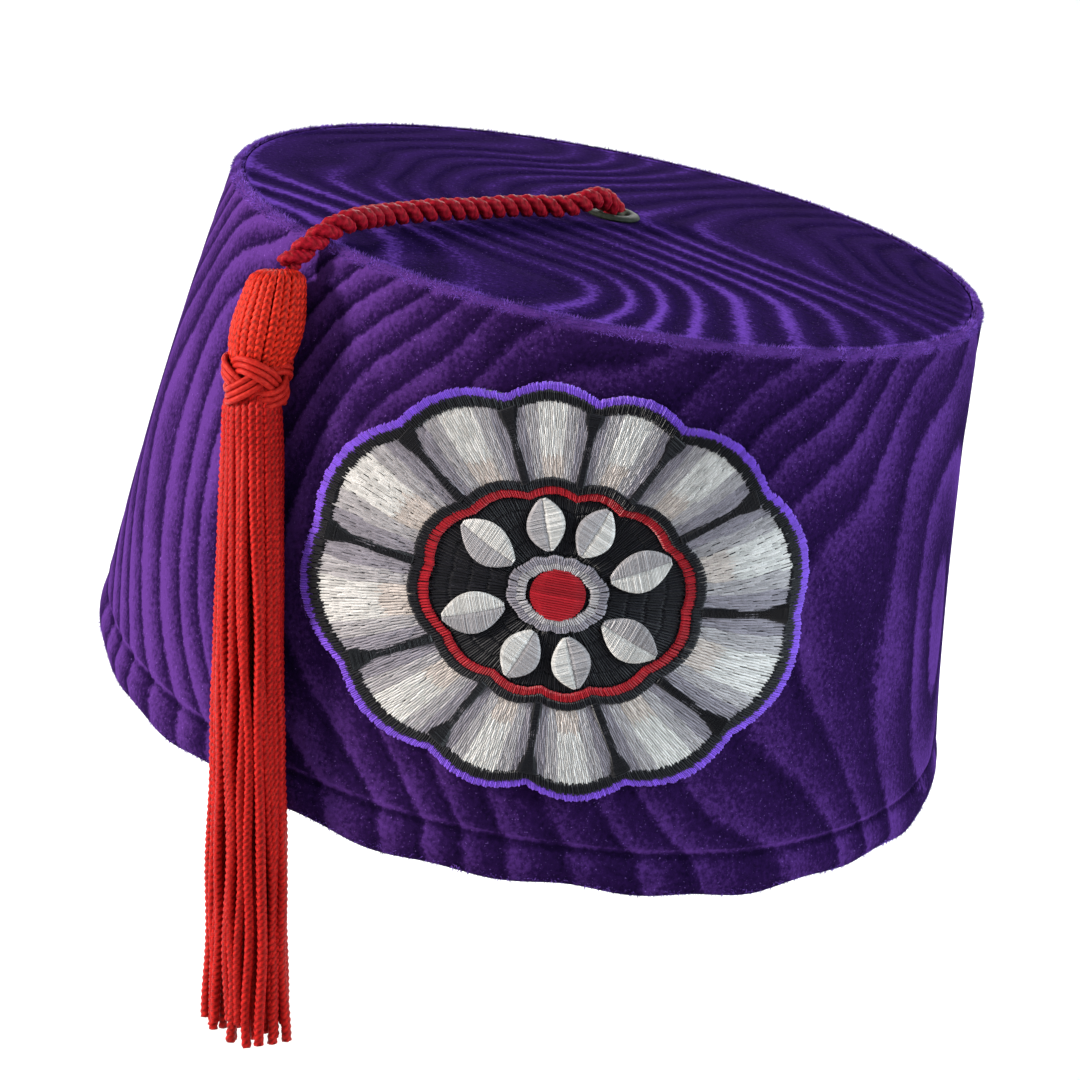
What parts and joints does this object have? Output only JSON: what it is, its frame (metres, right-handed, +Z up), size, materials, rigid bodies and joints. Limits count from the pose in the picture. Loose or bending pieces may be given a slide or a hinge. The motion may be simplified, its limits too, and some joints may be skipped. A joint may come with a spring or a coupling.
{
  "type": "fez hat",
  "caption": "Tapered oval velvet fez with a domed top, an embroidered oval emblem at the front, and a rope from a central eyelet to a knotted tassel that hangs below the rim.",
  "frame": {"origin": "middle of the rim's plane, where the hat sits on a head", "axes": "+Z up against gravity, the front with the emblem faces -Y, +X to the right as seen from the front; the crown leans 12 degrees forward and 10 degrees to +X about the origin"},
  "size_m": [0.1804, 0.1968, 0.1716],
  "materials": {
    "wall_velvet": "ribbed velvet pile",
    "top_velvet": "ribbed velvet pile",
    "eyelet_metal": "gunmetal, satin",
    "stop_knot_cord": "knotted cord",
    "emblem_thread": "satin-stitch thread",
    "rope_cord": "twisted knitted cord",
    "tassel_strands": "knitted strands",
    "knot_cord": "smooth cord"
  },
  "bodies": {
    "root": {"crown_wall": "wall_velvet", "top_disc": "top_velvet", "eyelet": "eyelet_metal", "stop_knot": "stop_knot_cord", "emblem": "emblem_thread", "tassel_rope": "rope_cord", "tassel": "tassel_strands", "tassel_knot": "knot_cord"}
  },
  "joints": []
}
